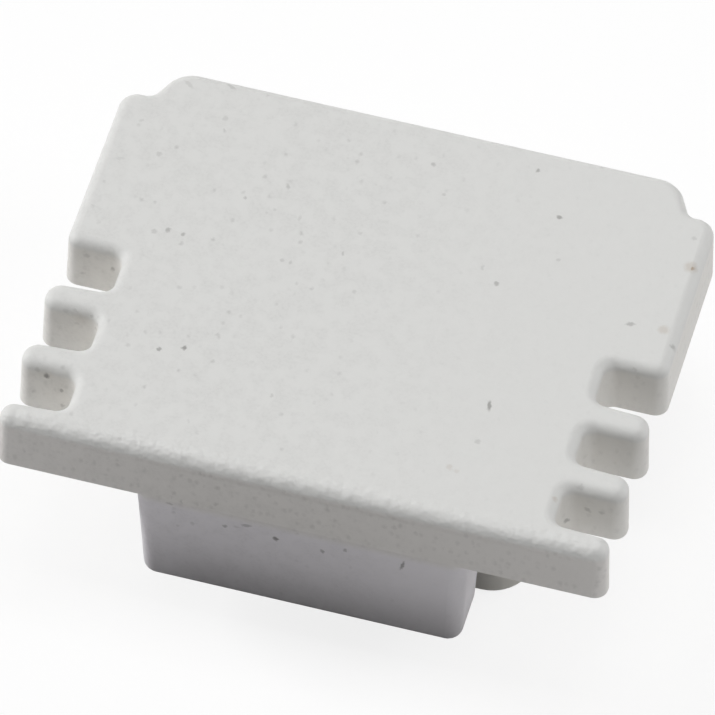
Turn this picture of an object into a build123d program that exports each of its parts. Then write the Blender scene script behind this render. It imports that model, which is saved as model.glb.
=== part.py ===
from build123d import *
from math import radians, tan
import os

# End cap for a finned, channel-section lighting profile, moulded in one piece.
# Millimetres. X runs across the width, Y from the base edge up to the far edge,
# Z out of the visible face. The origin is the middle of the seating face, the
# plane that lies against the sawn end of the profile.

# cover plate
plate_width = 20.0
plate_height = 15.8
plate_thickness = 2.15
plate_draft = 2.0            # degrees, the outline grows towards the seating face
face_fillet = 0.36           # soft rim round the visible face
base_corner_radius = 0.38

# shoulders at the far corners, beside the diffuser
shoulder_width = 0.95
shoulder_height = 1.3
shoulder_slant = 0.65        # how far the riser leans in towards the middle
shoulder_corner_radius = 0.6
shoulder_root_radius = 0.4
far_corner_radius = 1.0

# notches that carry the grooves of the profile across the cap
base_fin_height = 0.95       # at the roots of the notches
fin_height = 1.05
notch_height = 1.52
top_notch_height = 1.68      # the notch furthest from the base is a little taller
notch_depth = 2.0
notch_flare = 0.12           # each fin thins by this much towards its tip
notch_root_radius = 0.45
base_fin_tip_radius = 0.42   # on the far side of each tip
fin_tip_radius = 0.5
fin_heel_radius = 0.38       # on its near side, which is crisper

# plug for the fixing channel, close to the base edge
base_plug_width = 10.95
base_plug_height = 2.9
base_plug_length = 4.65
base_plug_overhang = 0.05    # past the base edge, so that it is flush with the drafted edge
base_plug_near_draft = 5.5   # degrees, the near side leans in more than the others
base_plug_corner_radius = 0.5
base_plug_end_fillet = 0.45

# hollow plug for the light channel
light_plug_width = 13.5
light_plug_height = 7.8
light_plug_length = 6.3
light_plug_wall = 1.5
light_plug_corner_radius = 1.4
light_plug_end_fillet = 0.3
light_bore_corner_radius = 0.8
light_bore_draft = 1.0       # degrees, the bore widens towards its mouth
channel_web = 0.9            # profile web between the two plugs

plug_draft = 2.0             # degrees, both plugs narrow towards their ends

half_width = plate_width / 2
base_y = -plate_height / 2
far_y = plate_height / 2
base_plug_y = base_y - base_plug_overhang + base_plug_height / 2
light_plug_y = base_plug_y + base_plug_height / 2 + channel_web + light_plug_height / 2


def side_corners():
    """Corners up the right-hand side from the base edge, as (x, y, corner radius)."""
    corners = [(half_width, base_y, base_corner_radius)]
    root_x = half_width - notch_depth
    foot = base_y + base_fin_height
    notches = [
        (notch_height, base_fin_tip_radius),
        (notch_height, fin_tip_radius),
        (top_notch_height, fin_tip_radius),
    ]
    for height, tip_radius in notches:
        top = foot + height
        corners += [
            (half_width, foot - notch_flare, tip_radius),
            (root_x, foot, notch_root_radius),
            (root_x, top, notch_root_radius),
            (half_width, top, fin_heel_radius),
        ]
        foot = top + fin_height
    riser_x = half_width - shoulder_width
    ledge_y = far_y - shoulder_height
    corners += [
        (half_width, ledge_y, shoulder_corner_radius),
        (riser_x, ledge_y, shoulder_root_radius),
        (riser_x - shoulder_slant, far_y, far_corner_radius),
    ]
    return corners


def plate_outline():
    """Outline of the visible face: the right-hand side and its mirror image."""
    right = side_corners()
    left = [(-x, y, radius) for x, y, radius in reversed(right)]
    corners = right + left
    border = FilletPolyline(
        [(x, y) for x, y, radius in corners],
        radius=[radius for x, y, radius in corners],
        close=True,
    )
    return make_face(border)


def plate():
    """Cover plate with its drafted edge and rounded rim."""
    face = Pos(0, 0, plate_thickness) * plate_outline()
    body = extrude(face, -plate_thickness, taper=-plate_draft)
    rim = body.faces().sort_by(Axis.Z)[-1].edges()
    return fillet(rim, face_fillet)


def plug(width, height, length, near_draft, corner_radius, end_fillet):
    """Block under the seating face, narrowing towards a rounded end."""
    lean = length * tan(radians(plug_draft))
    near_lean = length * tan(radians(near_draft))
    root = RectangleRounded(width, height, corner_radius)
    tip = RectangleRounded(width - 2 * lean, height - lean - near_lean, corner_radius)
    body = loft([root, Pos(0, (near_lean - lean) / 2, -length) * tip])
    end = body.faces().sort_by(Axis.Z)[0].edges()
    return fillet(end, end_fillet)


def base_plug():
    """Solid plug that closes the fixing channel."""
    body = plug(
        base_plug_width,
        base_plug_height,
        base_plug_length,
        base_plug_near_draft,
        base_plug_corner_radius,
        base_plug_end_fillet,
    )
    return Pos(0, base_plug_y, 0) * body


def light_plug():
    """Collar that fits the light channel, open at its end for the strip and its wires."""
    body = plug(
        light_plug_width,
        light_plug_height,
        light_plug_length,
        plug_draft,
        light_plug_corner_radius,
        light_plug_end_fillet,
    )
    bore = RectangleRounded(
        light_plug_width - 2 * light_plug_wall,
        light_plug_height - 2 * light_plug_wall,
        light_bore_corner_radius,
    )
    body -= extrude(bore, -light_plug_length, taper=-light_bore_draft)
    return Pos(0, light_plug_y, 0) * body


end_cap = plate() + base_plug() + light_plug()

os.makedirs("parts", exist_ok=True)
export_step(end_cap, "parts/end_cap.step")
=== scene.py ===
import math

import bpy
import numpy as np
from bpy.props import FloatProperty, FloatVectorProperty, PointerProperty
from mathutils import Matrix, Vector


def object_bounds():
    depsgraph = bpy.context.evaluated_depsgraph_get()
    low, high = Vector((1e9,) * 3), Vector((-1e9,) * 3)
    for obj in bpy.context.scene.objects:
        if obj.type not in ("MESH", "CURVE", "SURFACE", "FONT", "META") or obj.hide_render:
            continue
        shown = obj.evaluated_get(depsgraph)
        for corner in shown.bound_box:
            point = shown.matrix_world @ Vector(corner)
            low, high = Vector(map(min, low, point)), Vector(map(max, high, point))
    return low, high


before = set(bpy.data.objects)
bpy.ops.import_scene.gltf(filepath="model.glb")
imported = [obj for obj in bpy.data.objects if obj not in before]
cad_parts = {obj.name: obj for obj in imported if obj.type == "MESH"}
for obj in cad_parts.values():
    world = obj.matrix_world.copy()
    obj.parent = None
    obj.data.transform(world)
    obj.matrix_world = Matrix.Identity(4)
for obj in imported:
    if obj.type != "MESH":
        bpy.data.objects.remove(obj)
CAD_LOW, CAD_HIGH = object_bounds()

bl_info = {
    "name": "Profile end cap",
    "version": (1, 0, 0),
    "blender": (4, 5, 0),
    "location": "View3D > Sidebar > End cap",
    "description": "Finishes a moulded end cap for a lighting profile and sets up its stage",
    "category": "Object",
}

MM = 0.001
FLOOR_GAP = 0.02 * MM   # keeps the floor off the end of the collar
FLOOR_HALF = 1.5        # metres


# Shared helpers

def linear(hex_colour):
    """Turns an sRGB hex colour into linear RGBA."""
    channels = np.array([int(hex_colour[i:i + 2], 16) for i in (1, 3, 5)]) / 255
    low = channels / 12.92
    high = ((channels + 0.055) / 1.055) ** 2.4
    return (*np.where(channels <= 0.04045, low, high).tolist(), 1.0)


def add(tree, kind, settings=None, inputs=None):
    """Adds a node and returns its outputs. Settings are its attributes. An input, named or by its
    place, gets a value, or a link where a socket is given."""
    node = tree.nodes.new(kind)
    for name, value in (settings or {}).items():
        setattr(node, name, value)
    for key, value in (inputs or {}).items():
        if isinstance(value, bpy.types.NodeSocket):
            tree.links.new(value, node.inputs[key])
        else:
            node.inputs[key].default_value = value
    return node.outputs


def new_material(name):
    """An empty node material."""
    material = bpy.data.materials.new(name)
    material.use_nodes = True
    material.node_tree.nodes.clear()
    return material


# Sizes and colours

class EndCapFinish(bpy.types.PropertyGroup):
    """Colours and surface detail of the moulded plastic."""

    body: FloatVectorProperty(
        name="Plastic", description="Colour of the moulded plastic",
        subtype="COLOR", size=4, min=0, max=1, default=linear("#DBDBD9"),
    )
    edge: FloatVectorProperty(
        name="Edge", description="Colour of the walls of the plate, a little warmer than its face",
        subtype="COLOR", size=4, min=0, max=1, default=linear("#E3E1DD"),
    )
    # darker than the other walls: partly dust in the grain, partly painted shade on the near face
    base_edge: FloatVectorProperty(
        name="Base edge", description="Colour of the base edge, where the grain holds some dust",
        subtype="COLOR", size=4, min=0, max=1, default=linear("#DAD7D4"),
    )
    base_plug: FloatVectorProperty(
        name="Base plug", description="Colour of the smooth base plug, a little cooler",
        subtype="COLOR", size=4, min=0, max=1, default=linear("#E4E1E5"),
    )
    # its browner tint is painted light: it stands in for warm light bounced between the plastic
    # surfaces in the shade under the plate
    collar: FloatVectorProperty(
        name="Collar", description="Colour of the hollow plug, a little browner",
        subtype="COLOR", size=4, min=0, max=1, default=linear("#E3E0DA"),
    )
    # this colour is used for the specks of dirt, and also for the painted shade at the lower end of
    # the base plug
    dirt_and_shade: FloatVectorProperty(
        name="Dirt", description="Colour of the specks of dirt",
        subtype="COLOR", size=4, min=0, max=1, default=linear("#57534F"),
    )
    stain: FloatVectorProperty(
        name="Stain", description="Colour of the brownish stains",
        subtype="COLOR", size=4, min=0, max=1, default=linear("#A8957F"),
    )
    # painted shade: greys the base plug more and more towards its lower end, where little light
    # reaches it from below
    end_shade: FloatProperty(
        name="Shaded end", description="How grey the end of the base plug is rubbed",
        min=0, max=1, default=0.36,
    )
    roughness: FloatProperty(
        name="Roughness", description="Roughness of the spark-eroded surface",
        min=0, max=1, default=0.62,
    )
    grain: FloatProperty(
        name="Grain width", description="Spacing of the grain left by the mould",
        subtype="DISTANCE", unit="LENGTH", min=0.00001, default=0.12 * MM,
    )
    grain_depth: FloatProperty(
        name="Grain depth", description="Height of the grain from valley to crest",
        subtype="DISTANCE", unit="LENGTH", min=0, default=0.006 * MM,
    )


class EndCapStage(bpy.types.PropertyGroup):
    """Camera, floor and studio light."""

    aim: FloatVectorProperty(
        name="Aim", description="Point the camera looks at",
        subtype="TRANSLATION", unit="LENGTH", size=3,
        default=(0.198 * MM, -1.689 * MM, 1.400 * MM),
    )
    azimuth: FloatProperty(
        name="Azimuth", description="Turn of the camera to the right of the base edge",
        subtype="ANGLE", unit="ROTATION", default=math.radians(13.764),
    )
    elevation: FloatProperty(
        name="Elevation", description="Height of the camera above the floor",
        subtype="ANGLE", unit="ROTATION", default=math.radians(50.538),
    )
    roll: FloatProperty(
        name="Roll", description="Tilt of the camera about its own axis",
        subtype="ANGLE", unit="ROTATION", default=math.radians(2.08),
    )
    distance: FloatProperty(
        name="Distance", description="From the camera to the point it looks at",
        subtype="DISTANCE", unit="LENGTH", min=0.05, default=330.8 * MM,
    )
    lens: FloatProperty(
        name="Lens", description="Focal length of the camera, in millimetres",
        min=20, max=2000, default=519.3,
    )
    floor: FloatVectorProperty(
        name="Floor", description="Colour of the studio floor",
        subtype="COLOR", size=4, min=0, max=1, default=linear("#F3F3F3"),
    )
    card: FloatVectorProperty(
        name="Card", description="Colour of the dark card that lies under the cap",
        subtype="COLOR", size=4, min=0, max=1, default=linear("#262626"),
    )
    top: FloatProperty(
        name="Top light", description="Strength of the softbox overhead",
        min=0, default=0.298,
    )
    front: FloatProperty(
        name="Front light", description="Strength of the softbox high in front of the base edge",
        min=0, default=0.111,
    )
    left: FloatProperty(
        name="Left light", description="Strength of the softbox on the left",
        min=0, default=0.678,
    )
    right: FloatProperty(
        name="Right light", description="Strength of the softbox on the right",
        min=0, default=0.229,
    )
    right_back: FloatProperty(
        name="Right back light", description="Strength of the softbox behind the right shoulder",
        min=0, default=0.187,
    )


# Dirt from handling: where each mark is and its half sizes in millimetres, its turn in degrees,
# and its darkness

FACE_MARKS = (
    # x, y, half length, half width, turn, darkness
    (-5.84, -3.75, 0.10, 0.12, 0, 0.50),
    (-5.08, -3.48, 0.11, 0.13, 0, 0.62),
    (-6.94, 1.12, 0.12, 0.15, 0, 0.40),
    (-6.43, 1.09, 0.10, 0.12, 0, 0.40),
    (-7.36, 0.95, 0.14, 0.15, 0, 0.20),
    (-8.11, 4.14, 0.14, 0.15, 0, 0.20),
    (-6.46, 6.22, 0.14, 0.17, 0, 0.17),
    (-4.92, 3.13, 0.08, 0.10, 0, 0.28),
    (-3.72, 4.00, 0.20, 0.10, -68, 0.28),
    (-4.09, 2.73, 0.08, 0.10, 0, 0.15),
    (-3.87, 2.93, 0.09, 0.10, 0, 0.15),
    (-3.00, 2.79, 0.09, 0.20, 0, 0.15),
    (-1.27, 1.76, 0.08, 0.11, 0, 0.26),
    (-3.05, 0.93, 0.11, 0.12, 0, 0.20),
    (-2.78, 0.92, 0.10, 0.12, 0, 0.23),
    (-0.48, 0.33, 0.09, 0.13, 0, 0.17),
    (-4.21, -2.64, 0.10, 0.11, 0, 0.20),
    (-1.87, -4.58, 0.09, 0.11, 0, 0.20),
    (-4.42, -4.47, 0.10, 0.10, 0, 0.15),
    (-9.28, 3.60, 0.26, 0.10, 15, 0.14),
    (-6.65, 7.60, 0.30, 0.10, -30, 0.22),
    (-8.00, 7.30, 0.34, 0.09, -35, 0.16),
    (0.56, 6.24, 0.12, 0.14, 0, 0.30),
    (1.21, 5.10, 0.11, 0.09, 0, 0.20),
    (3.82, 1.95, 0.11, 0.13, 0, 0.40),
    (3.88, 6.95, 0.10, 0.13, 0, 0.45),
    (5.06, 5.23, 0.14, 0.11, -35, 0.52),
    (5.48, 3.49, 0.09, 0.11, 0, 0.18),
    (3.21, 2.47, 0.10, 0.16, 0, 0.17),
    (4.90, -3.02, 0.30, 0.09, 100, 0.56),
    (4.92, -4.54, 0.14, 0.15, 0, 0.19),
    (8.38, 1.53, 0.24, 0.11, 16, 0.36),
    (9.46, 5.60, 0.12, 0.13, 0, 0.19),
    (9.92, 1.08, 0.16, 0.14, 35, 0.34),
)
FACE_STAINS = (
    (9.66, 4.40, 0.30, 0.32, 0, 0.32),
    (9.72, 4.36, 0.10, 0.12, 0, 0.85),
    (9.46, 1.60, 0.26, 0.26, 30, 0.28),
    (4.34, -5.80, 0.15, 0.18, 0, 0.20),
    (4.58, -5.90, 0.14, 0.12, 0, 0.15),
    (7.86, -6.06, 0.12, 0.14, 0, 0.28),
)
WALL_MARKS = (
    # x, y, z, half length, half width, turn, darkness
    (-0.76, -7.87, -0.82, 0.13, 0.16, 0, 0.75),
    (0.79, -7.88, -0.93, 0.11, 0.16, 0, 0.50),
    (1.54, -7.90, -0.56, 0.10, 0.14, 0, 0.40),
    (3.43, -7.88, -0.68, 0.38, 0.08, 77, 0.62),
    (-4.26, -7.95, -0.20, 0.17, 0.09, 0, 0.34),
    (-2.44, -7.90, -0.76, 0.12, 0.12, 0, 0.46),
    (-1.72, -7.90, -0.44, 0.26, 0.11, 12, 0.40),
    (-4.02, -7.82, -1.36, 0.12, 0.10, 0, 0.18),
    (-3.52, -7.85, -1.04, 0.10, 0.16, 0, 0.20),
    (-2.05, -7.89, -0.66, 0.20, 0.10, 0, 0.18),
    (-9.08, -5.40, 1.66, 0.13, 0.17, 0, 0.62),
    (-8.58, -5.43, 1.12, 0.09, 0.13, 0, 0.42),
    (-8.54, -5.43, 0.40, 0.11, 0.14, 0, 0.32),
    (-9.40, -5.40, 1.85, 0.14, 0.14, 0, 0.20),
    (-9.20, -2.86, 1.88, 0.14, 0.12, 0, 0.14),
    (-8.84, -2.86, 1.42, 0.17, 0.10, 10, 0.16),
    (-8.08, -3.05, 1.80, 0.10, 0.12, 0, 0.22),
    (-8.16, -2.98, 1.50, 0.08, 0.10, 0, 0.18),
    (-8.34, -2.90, 1.92, 0.12, 0.07, 30, 0.18),
    (-8.90, -2.84, 1.96, 0.16, 0.07, -20, 0.18),
    (-9.30, -0.12, 1.52, 0.18, 0.15, 0, 0.26),
    (-8.42, -0.13, 1.17, 0.12, 0.15, 0, 0.40),
    (-9.43, -0.13, 0.62, 0.14, 0.10, 20, 0.22),
    (8.82, -5.43, 1.16, 0.19, 0.11, -35, 0.26),
    (9.28, -5.43, 1.17, 0.13, 0.12, 0, 0.22),
    (8.50, -5.30, 2.04, 0.18, 0.10, 0, 0.20),
    (8.18, -5.59, 0.54, 0.12, 0.14, 0, 0.40),
    (8.95, -0.10, 1.95, 0.14, 0.08, -20, 0.16),
)
WALL_STAINS = (
    (-8.72, -2.84, 1.70, 0.42, 0.36, 0, 0.10),
    (-9.10, -5.40, 1.75, 0.42, 0.26, 0, 0.08),
)


# Material

MARK_DEPTH = {"face": 0.5, "wall": 0.3}   # mm, half size of a mark into the surface
MARK_SOLID = 0.7                          # a mark is at its darkest this share of the way in
WANDER = 0.12                             # mm, how far the dirt strays from its round shape

SMOOTH = {"interpolation_type": "SMOOTHSTEP"}
PLUS = {"operation": "ADD"}
MINUS = {"operation": "SUBTRACT"}
TIMES = {"operation": "MULTIPLY"}
TIMES_PLUS = {"operation": "MULTIPLY_ADD"}
LARGER = {"operation": "MAXIMUM"}
# a mix of colours: socket 0 is the share, 6 and 7 are the colours, and 2 is the result
COLOURS = {"data_type": "RGBA"}


def specks(tree, place, spacing, size):
    """Small spots, one in most Voronoi cells: random depth * (1 - distance / size)."""
    cells = add(tree, "ShaderNodeTexVoronoi", None, {"Vector": place, "Scale": 1 / spacing})
    spot = add(
        tree, "ShaderNodeMath", {**TIMES_PLUS, "use_clamp": True},
        {0: cells["Distance"], 1: -spacing / size, 2: 1.0},
    )[0]
    random = add(tree, "ShaderNodeSeparateColor", None, {0: cells["Color"]})["Red"]
    depth = add(tree, "ShaderNodeMapRange", SMOOTH, {"Value": random, "From Min": 0.1})[0]
    return add(tree, "ShaderNodeMath", TIMES, {0: spot, 1: depth})[0]


def placed_marks(tree, place, marks):
    """The darkest of the given marks: each is an ellipsoid whose darkness fades towards its skin.
    The ball gradient reads the Mapping as it is. A Vector Math node would have it converted first,
    and the marks, all waiting for that, would be more than the shader's stack holds."""
    darkest = 0.0
    for centre, halves, turn, darkness in marks:
        local = add(
            tree, "ShaderNodeMapping", {"vector_type": "TEXTURE"},
            {"Vector": place, "Location": centre, "Rotation": turn, "Scale": halves},
        )[0]
        ball = add(
            tree, "ShaderNodeTexGradient", {"gradient_type": "SPHERICAL"}, {"Vector": local},
        )["Fac"]
        dark = add(
            tree, "ShaderNodeMapRange", SMOOTH,
            {"Value": ball, "From Max": MARK_SOLID, "To Max": darkness},
        )[0]
        darkest = add(tree, "ShaderNodeMath", LARGER, {0: darkest, 1: dark})[0]
    return darkest


def on_face(marks):
    """Marks on the visible face and its rim: turned about Z."""
    high = CAD_HIGH.z / MM
    return [
        ((x, y, high), (length, width, MARK_DEPTH["face"]), (0, 0, math.radians(turn)), darkness)
        for x, y, length, width, turn, darkness in marks
    ]


def on_wall(marks):
    """Marks on walls that face the base edge's side: turned about Y."""
    return [
        ((x, y, z), (length, MARK_DEPTH["wall"], width), (0, -math.radians(turn), 0), darkness)
        for x, y, z, length, width, turn, darkness in marks
    ]


def moulded_plastic(finish):
    """ABS from a spark-eroded mould: opaque off-white, with a fine matt grain and a broad sheen."""
    material = new_material("abs_spark_eroded_moulded")
    tree = material.node_tree
    place = add(tree, "ShaderNodeTexCoord")["Object"]
    in_mm = add(tree, "ShaderNodeMapping", None, {"Vector": place, "Scale": (1 / MM,) * 3})[0]
    x, y, z = add(tree, "ShaderNodeSeparateXYZ", None, {0: in_mm})

    # zones of the surface: each value goes smoothly from low to high between two places in mm
    high, near = CAD_HIGH.z / MM, CAD_LOW.y / MM
    zones = {
        # name: (coordinate, start, end, low, high)
        "face": (z, high - 0.50, high - 0.26, 0.0, 1.0),
        "base edge": (y, near + 0.40, near + 0.20, 0.0, 1.0),
        "plate": (z, -0.50, 0.15, 0.0, 1.0),
        "plugs": (z, 0.15, -0.50, 0.0, 1.0),
        "base plug": (y, near + 3.4, near + 3.2, 0.0, 1.0),
        # painted shade on the base plug: darker towards its lower end, and weaker at its left end
        "plug end": (z, -1.6, -5.4, 0.0, finish.end_shade),
        "right of end": (x, -4.8, -3.0, 0.45, 1.0),
        "relief": (z, -0.50, 0.15, 0.35, 1.0),
        "near rim": (y, near + 0.8, near + 0.5, 0.0, 9.0),
        "rim": (z, 1.5, 1.7, 0.0, 1.0),
        "face dust": (x, 6.0, -4.0, 0.05, 0.26),
        "wall dust": (y, near + 0.40, near + 0.20, 0.12, 0.22),
        "off face": (z, high - 0.26, high - 0.50, 0.2, 1.0),
        "valley dust": (x, 7.0, -2.0, 0.008, 0.042),
    }
    zone = {
        name: add(
            tree, "ShaderNodeMapRange", SMOOTH,
            {"Value": value, "From Min": start, "From Max": end, "To Min": low, "To Max": top},
        )[0]
        for name, (value, start, end, low, top) in zones.items()
    }

    # the plugs are smoother than the plate, and the rim along the base edge is lumpier
    grain = add(
        tree, "ShaderNodeTexNoise", None,
        {"Vector": in_mm, "Scale": MM / finish.grain, "Detail": 2.0, "Roughness": 0.55},
    )["Fac"]
    lumps = add(
        tree, "ShaderNodeTexNoise", None,
        {"Vector": in_mm, "Scale": 0.4 * MM / finish.grain, "Detail": 1.0, "Roughness": 0.5},
    )["Fac"]
    lump_height = add(
        tree, "ShaderNodeMath", TIMES_PLUS, {0: zone["near rim"], 1: zone["rim"], 2: 2.0},
    )[0]
    height = add(tree, "ShaderNodeMath", TIMES_PLUS, {0: lumps, 1: lump_height, 2: grain})[0]
    height = add(tree, "ShaderNodeMath", TIMES, {0: height, 1: zone["relief"]})[0]
    relief = add(
        tree, "ShaderNodeBump", None,
        {"Strength": 1.0, "Distance": finish.grain_depth, "Height": height},
    )[0]

    # fine dust caught in the grain: dense in the base edge, thin on the face, thinner to the right
    wander = add(
        tree, "ShaderNodeTexNoise", None, {"Vector": in_mm, "Scale": 9.0, "Detail": 1.0},
    )["Color"]
    ragged = add(
        tree, "ShaderNodeVectorMath", TIMES_PLUS, {0: wander, 1: (WANDER,) * 3, 2: in_mm},
    )[0]
    ragged = add(tree, "ShaderNodeVectorMath", MINUS, {0: ragged, 1: (WANDER / 2,) * 3})[0]
    # its specks are a little taller than wide
    upright = add(tree, "ShaderNodeVectorMath", TIMES, {0: ragged, 1: (1.0, 0.85, 0.70)})[0]
    valleys = add(
        tree, "ShaderNodeMapRange", SMOOTH,
        {"Value": grain, "From Min": 0.60, "From Max": 0.30, "To Min": 0.4},
    )[0]
    # it lies in patches about 0.5 mm wide
    patches = add(
        tree, "ShaderNodeTexNoise", None,
        {"Vector": in_mm, "Scale": 2.0, "Detail": 3.0, "Roughness": 0.6},
    )["Fac"]
    patchy = add(
        tree, "ShaderNodeMapRange", SMOOTH,
        {"Value": patches, "From Min": 0.38, "From Max": 0.62, "To Min": 0.1, "To Max": 1.9},
    )[0]

    # each share is the product of what is listed
    face_specks = specks(tree, upright, spacing=0.45, size=0.10)
    wall_specks = specks(tree, upright, spacing=0.24, size=0.11)
    products = {
        "face dust": (face_specks, zone["face dust"]),
        "wall dust": (wall_specks, zone["wall dust"], zone["off face"], zone["plate"]),
        "valleys": (valleys, zone["valley dust"], patchy),
        "base plug": (zone["plugs"], zone["base plug"]),
        # painted shade at the lower end of the base plug
        "shaded": (zone["plugs"], zone["base plug"], zone["plug end"], zone["right of end"]),
    }
    share = {}
    for name, (product, *factors) in products.items():
        for factor in factors:
            product = add(tree, "ShaderNodeMath", TIMES, {0: product, 1: factor})[0]
        share[name] = product
    dust = add(tree, "ShaderNodeMath", LARGER, {0: share["face dust"], 1: share["wall dust"]})[0]
    dust = add(tree, "ShaderNodeMath", PLUS, {0: dust, 1: share["valleys"]})[0]
    marks = placed_marks(tree, ragged, on_face(FACE_MARKS) + on_wall(WALL_MARKS))
    dark = add(tree, "ShaderNodeMath", LARGER, {0: dust, 1: marks})[0]
    stains = placed_marks(tree, ragged, on_face(FACE_STAINS) + on_wall(WALL_STAINS))

    # each colour covers a share of those before it
    colour = finish.edge
    for cover, layer in (
        # the base edge: dust in the grain, and painted shade on the near face
        (zone["base edge"], finish.base_edge),
        (zone["face"], finish.body),
        # browner tint on the plugs: painted warm bounce light in the shade under the plate
        (zone["plugs"], finish.collar),
        (share["base plug"], finish.base_plug),
        # painted shade at the lower end of the base plug, in the dirt colour
        (share["shaded"], finish.dirt_and_shade),
        (stains, finish.stain),
        (dark, finish.dirt_and_shade),
    ):
        colour = add(tree, "ShaderNodeMix", COLOURS, {0: cover, 6: colour, 7: layer})[2]

    shader = add(
        tree, "ShaderNodeBsdfPrincipled", None,
        {"Base Color": colour, "Roughness": finish.roughness, "IOR": 1.53, "Normal": relief},
    )
    add(tree, "ShaderNodeOutputMaterial", None, {"Surface": shader[0]})
    return material


# Stage

def towards(azimuth, elevation):
    """Direction from the object to something seen at these angles. Azimuth turns to the right of
    the base edge."""
    return Vector((
        math.sin(azimuth) * math.cos(elevation),
        -math.cos(azimuth) * math.cos(elevation),
        math.sin(elevation),
    ))


def seen_rays(tree):
    """Two values: 1 for rays straight from the camera, and 1 for reflected or transmitted rays."""
    path = add(tree, "ShaderNodeLightPath")
    mirrored = add(
        tree, "ShaderNodeMath", LARGER, {0: path["Is Glossy Ray"], 1: path["Is Transmission Ray"]},
    )[0]
    return path["Is Camera Ray"], mirrored


def floor_paper(colour, card):
    """White seamless paper: near white to the camera and in reflections, with the shadow kept. To
    the light, a dark card with a soft border lies on it along the base edge, and keeps the plug's
    end from glowing."""
    card_centre = (0, CAD_LOW.y - 1 * MM, CAD_LOW.z)
    card_reach = (10 * MM, 6 * MM, 1.0)
    paper_glow, glow_share = 1.03, 0.8
    material = new_material("seamless_paper_matt")
    tree = material.node_tree
    camera, mirrored = seen_rays(tree)
    place = add(tree, "ShaderNodeTexCoord")["Object"]
    local = add(
        tree, "ShaderNodeMapping", {"vector_type": "TEXTURE"},
        {"Vector": place, "Location": card_centre, "Scale": card_reach},
    )[0]
    length = add(tree, "ShaderNodeVectorMath", {"operation": "LENGTH"}, {0: local})[1]
    bare = add(
        tree, "ShaderNodeMapRange", SMOOTH, {"Value": length, "From Min": 0.45, "From Max": 1.3},
    )[0]
    paper_share = add(tree, "ShaderNodeMath", LARGER, {0: bare, 1: camera})[0]
    paper = add(tree, "ShaderNodeMix", COLOURS, {0: paper_share, 6: card, 7: colour})[2]
    lit = add(tree, "ShaderNodeBsdfDiffuse", None, {"Color": paper})[0]
    white = add(tree, "ShaderNodeEmission", None, {"Strength": paper_glow})[0]
    in_mirror = add(tree, "ShaderNodeMath", TIMES, {0: mirrored, 1: bare})[0]
    seen = add(tree, "ShaderNodeMath", LARGER, {0: camera, 1: in_mirror})[0]
    white_share = add(tree, "ShaderNodeMath", TIMES, {0: seen, 1: glow_share})[0]
    paper_top = add(tree, "ShaderNodeMixShader", None, {0: white_share, 1: lit, 2: white})[0]
    # clear from below, so that the underside of the cap can be looked at
    from_below = add(tree, "ShaderNodeNewGeometry")["Backfacing"]
    clear = add(tree, "ShaderNodeBsdfTransparent")[0]
    paper_top = add(tree, "ShaderNodeMixShader", None, {0: from_below, 1: paper_top, 2: clear})[0]
    add(tree, "ShaderNodeOutputMaterial", None, {"Surface": paper_top})
    return material


def softbox(name, azimuth, elevation, strength):
    """A square softbox 0.2 m wide and 0.5 m from the object. At strength 1 it alone lights a card
    facing it as brightly as a world of strength 1 would."""
    size, distance = 0.2, 0.5
    lamp = bpy.data.lights.new(name, "AREA")
    lamp.shape = "SQUARE"
    lamp.size = size
    # radiance L = power / (pi * area) lights the card by pi * L times the form factor
    half = size / 2
    spread = math.hypot(half, distance)
    form = 4 / math.pi * half / spread * math.atan(half / spread)
    lamp.energy = strength * math.pi * size * size / form
    back = towards(math.radians(azimuth), math.radians(elevation))
    lamp_object = bpy.data.objects.new(name, lamp)
    lamp_object.location = back * distance
    lamp_object.rotation_euler = back.to_track_quat("Z", "Y").to_euler()
    bpy.context.scene.collection.objects.link(lamp_object)


class ENDCAP_OT_plastic(bpy.types.Operator):
    """Give the moulded cap its grained plastic"""

    bl_idname = "endcap.plastic"
    bl_label = "Finish the moulding"

    def execute(self, context):
        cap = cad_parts["end_cap"]
        material = moulded_plastic(context.scene.end_cap_finish)
        cap.data.materials.clear()
        cap.data.materials.append(material)
        return {"FINISHED"}


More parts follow.
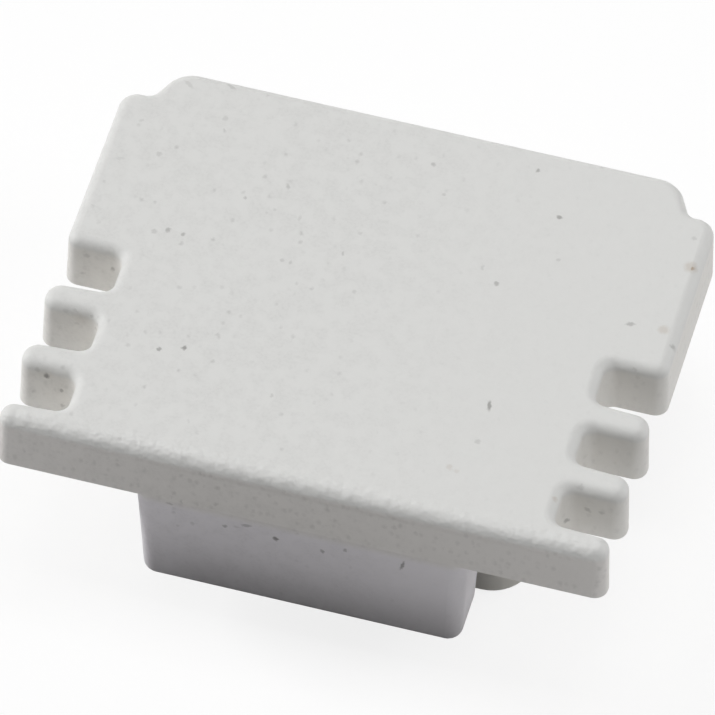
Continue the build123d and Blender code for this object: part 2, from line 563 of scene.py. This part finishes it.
class ENDCAP_OT_stage(bpy.types.Operator):
    """Lay the floor and hang the studio lights"""

    bl_idname = "endcap.stage"
    bl_label = "Set the stage"

    def execute(self, context):
        stage = context.scene.end_cap_stage
        half, level = FLOOR_HALF, CAD_LOW.z - FLOOR_GAP
        corners = [(-half, -half), (half, -half), (half, half), (-half, half)]
        mesh = bpy.data.meshes.new("floor")
        mesh.from_pydata([(x, y, level) for x, y in corners], [], [(0, 1, 2, 3)])
        mesh.materials.append(floor_paper(stage.floor, stage.card))
        floor = bpy.data.objects.new("floor", mesh)
        context.scene.collection.objects.link(floor)

        # name, azimuth and elevation in degrees, strength
        softbox("top_softbox", 0, 90, stage.top)
        softbox("front_softbox", 0, 60, stage.front)
        softbox("left_softbox", 263, 25, stage.left)
        softbox("right_softbox", 90, 40, stage.right)
        softbox("right_back_softbox", 135, 25, stage.right_back)

        # black to the light and white to the camera
        world = bpy.data.worlds.new("studio")
        world.use_nodes = True
        tree = world.node_tree
        tree.nodes.clear()
        camera, mirrored = seen_rays(tree)
        seen = add(tree, "ShaderNodeMath", LARGER, {0: camera, 1: mirrored})[0]
        white = add(
            tree, "ShaderNodeBackground", None, {"Color": (1, 1, 1, 1), "Strength": seen},
        )[0]
        add(tree, "ShaderNodeOutputWorld", None, {"Surface": white})
        context.scene.world = world
        context.scene.view_settings.view_transform = "Standard"
        return {"FINISHED"}


class ENDCAP_OT_camera(bpy.types.Operator):
    """Set up the camera above the base edge"""

    bl_idname = "endcap.camera"
    bl_label = "Place the camera"

    def execute(self, context):
        stage = context.scene.end_cap_stage
        back = towards(stage.azimuth, stage.elevation)
        right = Vector((math.cos(stage.azimuth), math.sin(stage.azimuth), 0))
        level = Matrix((right, back.cross(right), back)).transposed()
        lens = bpy.data.cameras.new("camera")
        lens.lens = stage.lens
        lens.clip_start, lens.clip_end = 0.01, 20
        camera = bpy.data.objects.new("camera", lens)
        camera.location = Vector(stage.aim) + back * stage.distance
        camera.rotation_euler = (level @ Matrix.Rotation(stage.roll, 3, "Z")).to_euler()
        context.scene.collection.objects.link(camera)
        context.scene.camera = camera
        return {"FINISHED"}


class ENDCAP_PT_panel(bpy.types.Panel):
    """Sizes, colours and steps for the end cap"""

    bl_idname = "ENDCAP_PT_panel"
    bl_label = "End cap"
    bl_space_type = "VIEW_3D"
    bl_region_type = "UI"
    bl_category = "End cap"

    def draw(self, context):
        for group in (context.scene.end_cap_finish, context.scene.end_cap_stage):
            column = self.layout.column(align=True)
            for name in group.__annotations__:
                column.prop(group, name)
        for step in STEPS:
            self.layout.operator(step.bl_idname)


STEPS = (ENDCAP_OT_plastic, ENDCAP_OT_stage, ENDCAP_OT_camera)
CLASSES = (EndCapFinish, EndCapStage, *STEPS, ENDCAP_PT_panel)


def register():
    for cls in CLASSES:
        bpy.utils.register_class(cls)
    bpy.types.Scene.end_cap_finish = PointerProperty(type=EndCapFinish)
    bpy.types.Scene.end_cap_stage = PointerProperty(type=EndCapStage)


def unregister():
    del bpy.types.Scene.end_cap_stage
    del bpy.types.Scene.end_cap_finish
    for cls in reversed(CLASSES):
        bpy.utils.unregister_class(cls)


def main():
    register()
    bpy.ops.endcap.plastic()
    bpy.ops.endcap.stage()
    bpy.ops.endcap.camera()


if __name__ == "__main__":
    main()
